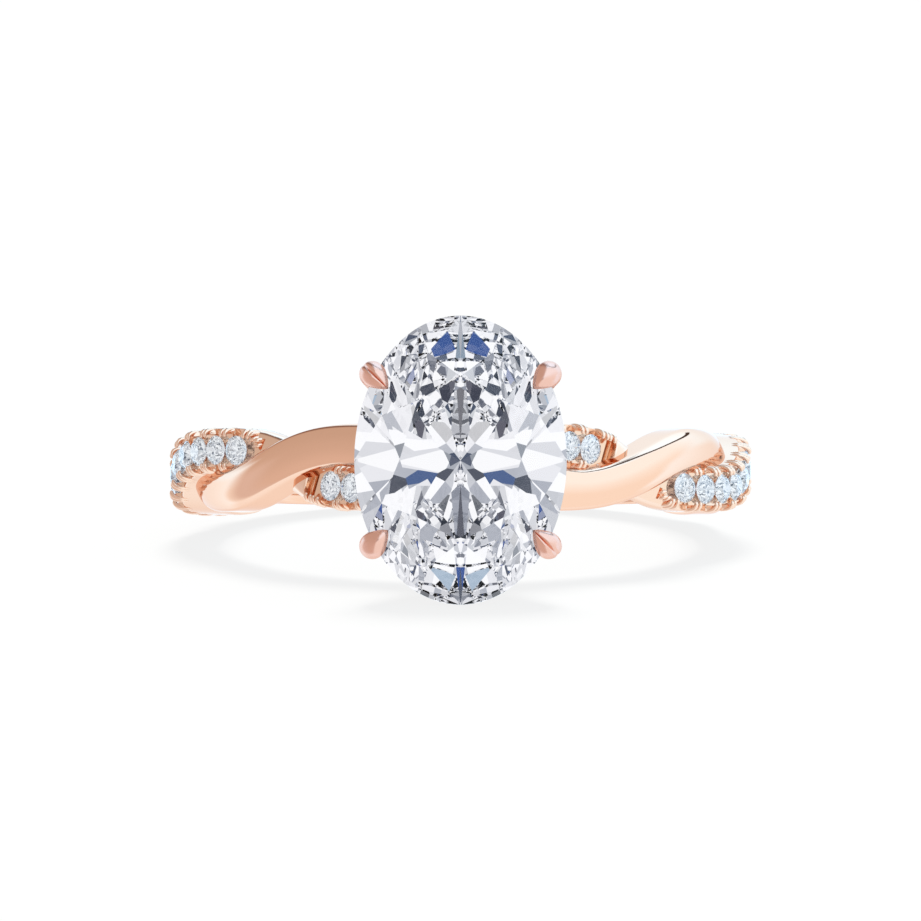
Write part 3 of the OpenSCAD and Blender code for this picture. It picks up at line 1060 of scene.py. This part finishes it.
def stone_cards(tree, x, y, z):
    """What light reaches the eye through the stones: white in front, broken greys behind."""
    mirrored = node(tree, "ShaderNodeCombineXYZ", {}, {"X": x.math("ABSOLUTE"), "Y": y, "Z": z})
    cards = mix(tree, step(y, 0.45, 0.65), broken(tree, mirrored, 3.6, FRONT_TONES),
                broken(tree, mirrored, 6.0, BEHIND_TONES))
    for azimuth, elevation, radius, colour in STONE_CARDS:
        a, e = radians(azimuth), radians(elevation)
        spot = mirrored.dot((sin(a) * cos(e), -cos(a) * cos(e), sin(e)))
        edge = node(tree, "ShaderNodeMapRange", {},
                    {"Value": spot, "From Min": cos(radians(radius + CARD_EDGE)),
                     "From Max": cos(radians(radius - CARD_EDGE))})
        cards = mix(tree, edge, cards, colour + (1,))
    return cards


def bright_wall(tree, azimuth, elevation):
    """The wall on the right and behind, which is whiter the further back it stands."""
    right = mix(tree, step(elevation, -12, 30), (1.06, 1.19, 1.24, 1), (1.12, 1.48, 1.75, 1))
    behind = mix(tree, step(elevation, -14, 2), (1.08, 1.28, 1.42, 1), (1.1, 1.72, 2.3, 1))
    wall = mix(tree, step(azimuth.math("ABSOLUTE"), 100, 142), right, behind)
    for left_edge, right_edge, low_edge, high_edge, white in WHITE_SHEETS:
        sheet = between(azimuth, left_edge, right_edge)
        wall = mix(tree, sheet * between(elevation, low_edge, high_edge), wall, white)
    return wall


def shaded_wall(tree, azimuth, elevation, wall):
    """The shaded wall on the left, which reaches round the back above the ring's level."""
    shaded = mix(tree, step(elevation, -60, 60), (0.78, 0.71, 0.67, 1), (0.64, 0.58, 0.53, 1))
    beyond = step(elevation, -6, 14).math("MAXIMUM", step(azimuth, -100, -65))
    shaded = mix(tree, beyond, (0.79, 0.76, 0.77, 1), shaded)
    corner = step(azimuth, -162, -142).math("MAXIMUM", 1 - step(elevation, 8, 25))
    shaded = mix(tree, corner, (0.26, 0.19, 0.17, 1), shaded)
    overhead = step(elevation, 8, 20) * step(azimuth, -172, -168)
    left = step(azimuth, -130, -104).math("MAXIMUM", overhead) * (1 - step(azimuth, -12, -2))
    return mix(tree, left, wall, shaded)


def round_lamp(tree, way, azimuth, elevation, wall):
    """A round lamp high over the back, with a dark rim that is open on its lower left."""
    off = degrees_off(way, LAMP)
    wall = mix(tree, step(off, *LAMP_EDGE), (1.14, 1.84, 2.5, 1), wall)
    rim = 1 - step((off - RIM_AT).math("ABSOLUTE"), *RIM_HALF)
    below = between(azimuth, (0, 20), (152, 158))
    rim = rim * step(elevation, 50, 56).math("MAXIMUM", below)
    return mix(tree, rim, wall, (0.06, 0.04, 0.03, 1))


def studio():
    """Soft light tent, which the metal mirrors. What is seen through the stones has cards of
    its own, and the camera sees white."""
    world = bpy.data.worlds.new("studio")
    bpy.context.scene.world = world
    world.use_nodes = True
    tree = world.node_tree
    tree.nodes.clear()
    way = Value(tree, tree.nodes.new("ShaderNodeTexCoord").outputs["Generated"])
    x, y, z = way.parts()
    # Angles in degrees: azimuth from the camera's side, positive to the right; elevation
    azimuth = x.math("ARCTAN2", y * -1) * degrees(1)
    elevation = z.math("ARCSINE") * degrees(1)
    walls = bright_wall(tree, azimuth, elevation)
    walls = shaded_wall(tree, azimuth, elevation, walls)
    walls = round_lamp(tree, way, azimuth, elevation, walls)
    watcher = 1 - step(degrees_off(way, WATCHER), *WATCHER_EDGE)
    walls = mix(tree, watcher * 0.75, walls, (0.3, 0.26, 0.25, 1))

    def lit(colour):
        return node(tree, "ShaderNodeBackground", {}, {"Color": colour, "Strength": 1.0})

    light_path = tree.nodes.new("ShaderNodeLightPath")
    through = Value(tree, light_path.outputs["Is Transmission Ray"])
    seen = Value(tree, light_path.outputs["Is Camera Ray"])
    both = node(tree, "ShaderNodeMixShader", {},
                {0: through, 1: lit(walls), 2: lit(stone_cards(tree, x, y, z))})
    both = node(tree, "ShaderNodeMixShader", {}, {0: seen, 1: both, 2: lit((1, 1, 1, 1))})
    node(tree, "ShaderNodeOutputWorld", {}, {"Surface": both})


def top_light():
    """Throws the ring's faint shadow, and shows in no reflection."""
    made = bpy.data.lights.new("top_light", "SUN")
    made.energy = 10.0
    made.angle = radians(24)
    lamp = bpy.data.objects.new("top_light", made)
    bpy.context.scene.collection.objects.link(lamp)
    way = Vector((-0.02, -0.45, -1))
    lamp.rotation_euler = way.to_track_quat("-Z", "Y").to_euler()
    lamp.visible_glossy = False
    lamp.visible_transmission = False


def floor():
    bpy.ops.mesh.primitive_circle_add(vertices=96, radius=2.5, fill_type="NGON")
    ground = bpy.context.object
    ground.name = "floor"
    made, tree, shader, spot = material_of("pale_floor")
    grain = noise(tree, spot, 0.5)
    tone = mix(tree, grain, (0.04, 0.039, 0.0368, 1), (0.039, 0.038, 0.0358, 1))
    set_shader(shader, Base_Color=tone, Roughness=0.9, Specular_IOR_Level=0.0,
               Emission_Color=(1, 1, 1, 1), Emission_Strength=0.86)
    ground.data.materials.append(made)
    ground.visible_glossy = False
    ground.visible_transmission = False


# How much flatter the camera looks down than the ring leans, in degrees, and its distance in
# metres from the middle of the finger hole
LOOK_FLATTER = 1.77
DISTANCE = 0.35


def camera():
    """The photograph's view: almost level with the ring, which fills two thirds of it."""
    elevation = REST_TILT - radians(LOOK_FLATTER)
    made = bpy.data.cameras.new("camera")
    made.lens = 387.9
    made.sensor_width = 36
    made.shift_y = 0.01314
    made.clip_start = 0.01
    made.clip_end = 20
    eye = bpy.data.objects.new("camera", made)
    bpy.context.scene.collection.objects.link(eye)
    way = Vector((0, cos(elevation), -sin(elevation)))
    eye.location = CENTRE - way * DISTANCE
    eye.rotation_euler = way.to_track_quat("-Z", "Y").to_euler()
    bpy.context.scene.camera = eye


def look():
    """Plain tones, and enough bounces for the stones."""
    scene = bpy.context.scene
    scene.view_settings.view_transform = "Standard"
    scene.view_settings.look = "None"
    scene.cycles.max_bounces = 24
    scene.cycles.glossy_bounces = 20
    scene.cycles.transmission_bounces = 24
    scene.cycles.transparent_max_bounces = 16
    scene.cycles.caustics_reflective = False
    scene.cycles.caustics_refractive = False


SWEEP = sweep_tree()
ROWS = rows_tree()

camera()
look()
studio()
top_light()
floor()

polished = rose_gold("polished_rose_gold", rough=0.05, worn=0.3)
# The carved metal is painted paler, with painted shade in its hollows, and the filed claws are
# painted darker and pinker as shade
carved = rose_gold("carved_rose_gold", rough=0.08, worn=0.6, metal=LIT_PALE_ROSE, paints_recess_shade=True)
filed = rose_gold("filed_rose_gold", rough=0.22, worn=0.5, metal=SHADED_PINK_ROSE)
clear = diamond("oval_diamond", clouds=0.4, sheen=(0.12, 0.12, 0.13, 1),
                tint=(0.985, 0.99, 1.0, 1))
sparkle = diamond("small_diamond", clouds=2.0, sheen=(0.66, 0.7, 0.74, 1),
                  tint=(0.9, 0.98, 1.0, 1))

metal = [
    polished_strand(polished),
    plain_back_band(polished),
    stone_set_strand(carved),
    rows_of("split_prongs", prong_spots(), prong_shape(), carved, CARVED_CREASE),
    four_claws(filed),
    gallery_rail(polished),
]
for piece in metal:
    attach(piece, "root")
    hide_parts("shank_and_head")
    # Through the stones the eye sees the studio's cards, and not the metal behind
    piece.visible_transmission = False
for piece in metal[:2]:
    # The polished metal mirrors the studio, and not itself
    piece.visible_glossy = False

oval = oval_brilliant(clear)
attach(oval, "root")
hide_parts("oval_stone")
small = small_brilliants(sparkle)
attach(small, "root")
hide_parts(*[n for n in frame["nodes"] if n.startswith("pave_stone_")])
